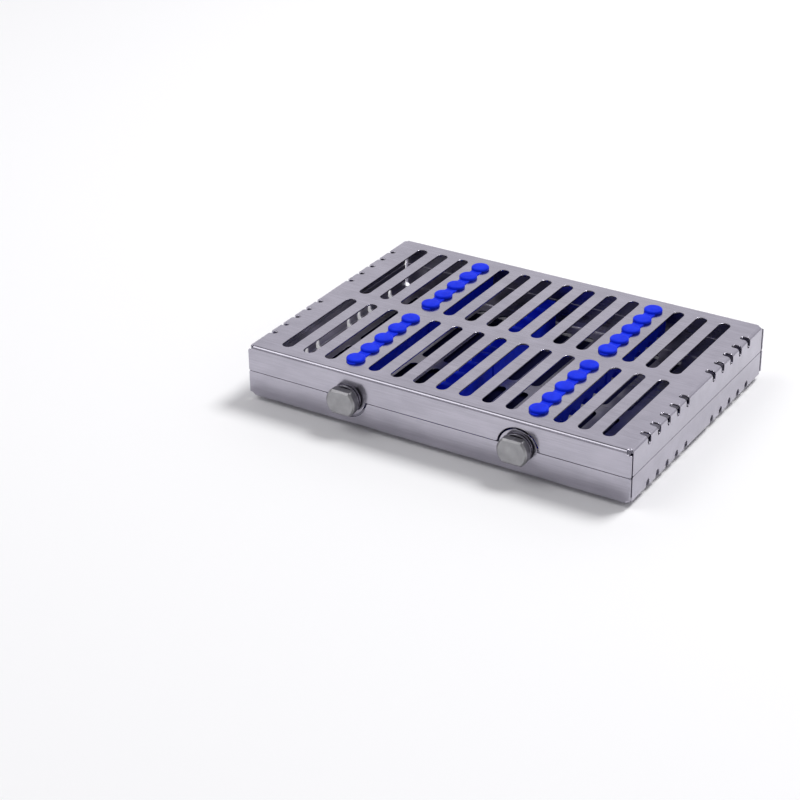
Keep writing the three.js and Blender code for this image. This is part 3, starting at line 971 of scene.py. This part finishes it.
def make_trays():
    shell = tray_shell()
    for tray in ("base", "lid"):
        piece = stand_in(shell, f"{tray}_tray", PLACES[tray], tray, STEEL)
        finish_inside(piece, PLACES[tray], INNER_STEEL)


def make_rails():
    shell = rail_shell()
    for node in frame["nodes"]:
        if "_rail" not in node:
            continue
        tray = node.split("_")[0]
        low, high = box_in_mm(node)
        middle = PLACES[tray].inverted() @ ((low + high) / 2)
        is_back = middle.y > 0
        column = Vector((middle.x, COLUMN_Y if is_back else -COLUMN_Y, 0))
        turn = Matrix.Rotation(math.pi if is_back else 0, 4, "Z")
        place = PLACES[tray] @ Matrix.Translation(column) @ turn
        stand_in(shell, node, place, tray, SILICONE)


def make_latches():
    for side, tray, keeper_side in (("right", "base", "left"), ("left", "lid", "right")):
        place = PLACES[tray] @ LATCH_FRAME
        turning = f"{side}_latch"
        stand_in(knob_shell(), f"{side}_knob", place, turning, KNOB)
        stand_in(cam_shell(), f"{side}_cam", place, turning, STEEL)
        stand_in(screw_shell(), f"{side}_cam_screw", place, turning, FITTING)
        stand_in(collar_shell(), f"{side}_collar", place, tray, FITTING)
        stand_in(spring_shell(), f"{side}_spring_washer", place, tray, SPRING)
        stand_in(keeper_shell(), f"{keeper_side}_keeper", PLACES[tray], tray, STEEL)


def make_hinges():
    for side in ("left", "right"):
        for tray in ("base", "lid"):
            node = f"{side}_hinge_{tray}_leaf"
            low, high = box_in_mm(node)
            middle = PLACES[tray].inverted() @ ((low + high) / 2)
            place = PLACES[tray] @ Matrix.Translation((middle.x, 0, 0))
            stand_in(leaf_shell(node, tray == "lid"), node, place, tray, STEEL)
        pin = f"{side}_hinge_pin"
        low, high = box_in_mm(pin)
        place = Matrix.Translation((low + high) / 2) @ Matrix.Rotation(math.pi / 2, 4, "Y")
        stand_in(pin_shell(pin), pin, place, "base", FITTING)


make_trays()
make_rails()
make_latches()
make_hinges()


# Camera: the photograph's place, direction and lens

CAMERA_LENS = 94.85
CAMERA_AIM = Vector((-23.4, -60.74, 15.4)) * MM
CAMERA_DISTANCE = 991.6 * MM
CAMERA_AZIMUTH = math.radians(32.198)
CAMERA_ELEVATION = math.radians(28.36)
CAMERA_ROLL = math.radians(0.828)


def make_camera():
    """A long lens at the front right, looking down at the cassette."""
    camera = bpy.data.cameras.new("camera")
    camera.lens = CAMERA_LENS
    camera.sensor_width = 36.0
    camera.clip_start = 0.05
    camera.clip_end = 20.0
    across = math.cos(CAMERA_ELEVATION)
    side, front = math.sin(CAMERA_AZIMUTH) * across, -math.cos(CAMERA_AZIMUTH) * across
    back = Vector((side, front, math.sin(CAMERA_ELEVATION)))
    place = Matrix.Translation(CAMERA_AIM + back * CAMERA_DISTANCE)
    turn = back.to_track_quat("Z", "Y").to_matrix().to_4x4()
    holder = bpy.data.objects.new("camera", camera)
    holder.matrix_world = place @ turn @ Matrix.Rotation(-CAMERA_ROLL, 4, "Z")
    bpy.context.scene.collection.objects.link(holder)
    bpy.context.scene.camera = holder


# The stage, with places and sizes in metres

FLOOR_REACH = 6.0
# The painted shade pad under the cassette: how far it stays inside the cassette's edges, and its height
SHADE_PAD_INSET = 8.0 * MM
SHADE_PAD_HEIGHT = 0.2 * MM
ROOM_TINT = (0.97, 0.96, 1.0)


def flat_rectangle(name, x, y, middle, height, finish):
    """A level rectangle that reaches x and y to each side of a middle on the Y axis."""
    corners = [(-x, middle - y), (x, middle - y), (x, middle + y), (-x, middle + y)]
    mesh = bpy.data.meshes.new(name)
    mesh.from_pydata([(*corner, height) for corner in corners], [], [(0, 1, 2, 3)])
    mesh.materials.append(finish.material)
    rectangle = bpy.data.objects.new(name, mesh)
    bpy.context.scene.collection.objects.link(rectangle)
    return rectangle


def make_floor():
    finish = Finish("pale_floor", Base_Color=(0.95, 0.95, 0.955, 1), Roughness=0.8)
    floor = flat_rectangle("floor", FLOOR_REACH, FLOOR_REACH, 0, 0, finish)


def make_painted_shade_pad():
    """A dark navy pad under the cassette, a little smaller than it: painted shade, which darkens what
    shows through the slots.
    """
    # Painted shade: a dark navy colour laid where the cassette's own shade falls on the floor
    colour = (0.006, 0.006, 0.045, 1)
    finish = Finish("painted_shade_pad", Base_Color=colour, Specular_IOR_Level=0.1, Roughness=0.8)
    x, y = HALF_LENGTH * MM - SHADE_PAD_INSET, HALF_WIDTH * MM - SHADE_PAD_INSET
    shade_pad = flat_rectangle("shade_pad", x, y, TRAY_Y * MM, SHADE_PAD_HEIGHT, finish)


def make_lamp(name, place, size, power):
    """A round lamp that points at the frame's origin, under the cassette."""
    lamp = bpy.data.lights.new(name, "AREA")
    lamp.shape = "DISK"
    lamp.size = size
    lamp.energy = power
    holder = bpy.data.objects.new(name, lamp)
    holder.location = Vector(place)
    holder.rotation_euler = (-Vector(place)).to_track_quat("-Z", "Y").to_euler()
    bpy.context.scene.collection.objects.link(holder)


def make_world(near, far, zenith):
    """A soft room: bright low down, brightest behind the cassette on its left, and darker overhead."""
    world = bpy.data.worlds.new("studio")
    room = Shading(world, "Background", Color=(*ROOM_TINT, 1))
    way = room.place("Generated")
    window = Vector((-0.5, 0.8, 0.3)).normalized()
    facing = room.node("ShaderNodeVectorMath", {"operation": "DOT_PRODUCT"}, {0: way, 1: window}, "Value")
    low_light = room.ramp(facing, low=0.0, high=0.95) * (far - near) + near
    overhead = room.ramp(room.part(way, "Z"), low=0.5, high=0.85)
    room.feed("Strength", low_light + overhead * (zenith - low_light))
    bpy.context.scene.world = world


bpy.context.scene.view_settings.view_transform = "Standard"
make_camera()
make_floor()
make_painted_shade_pad()
make_world(near=0.5, far=0.86, zenith=0.2)
make_lamp("key", place=(0.52, 0.95, 1.8), size=0.8, power=30.0)
make_lamp("fill", place=(-0.95, -0.6, 1.7), size=1.3, power=7.5)
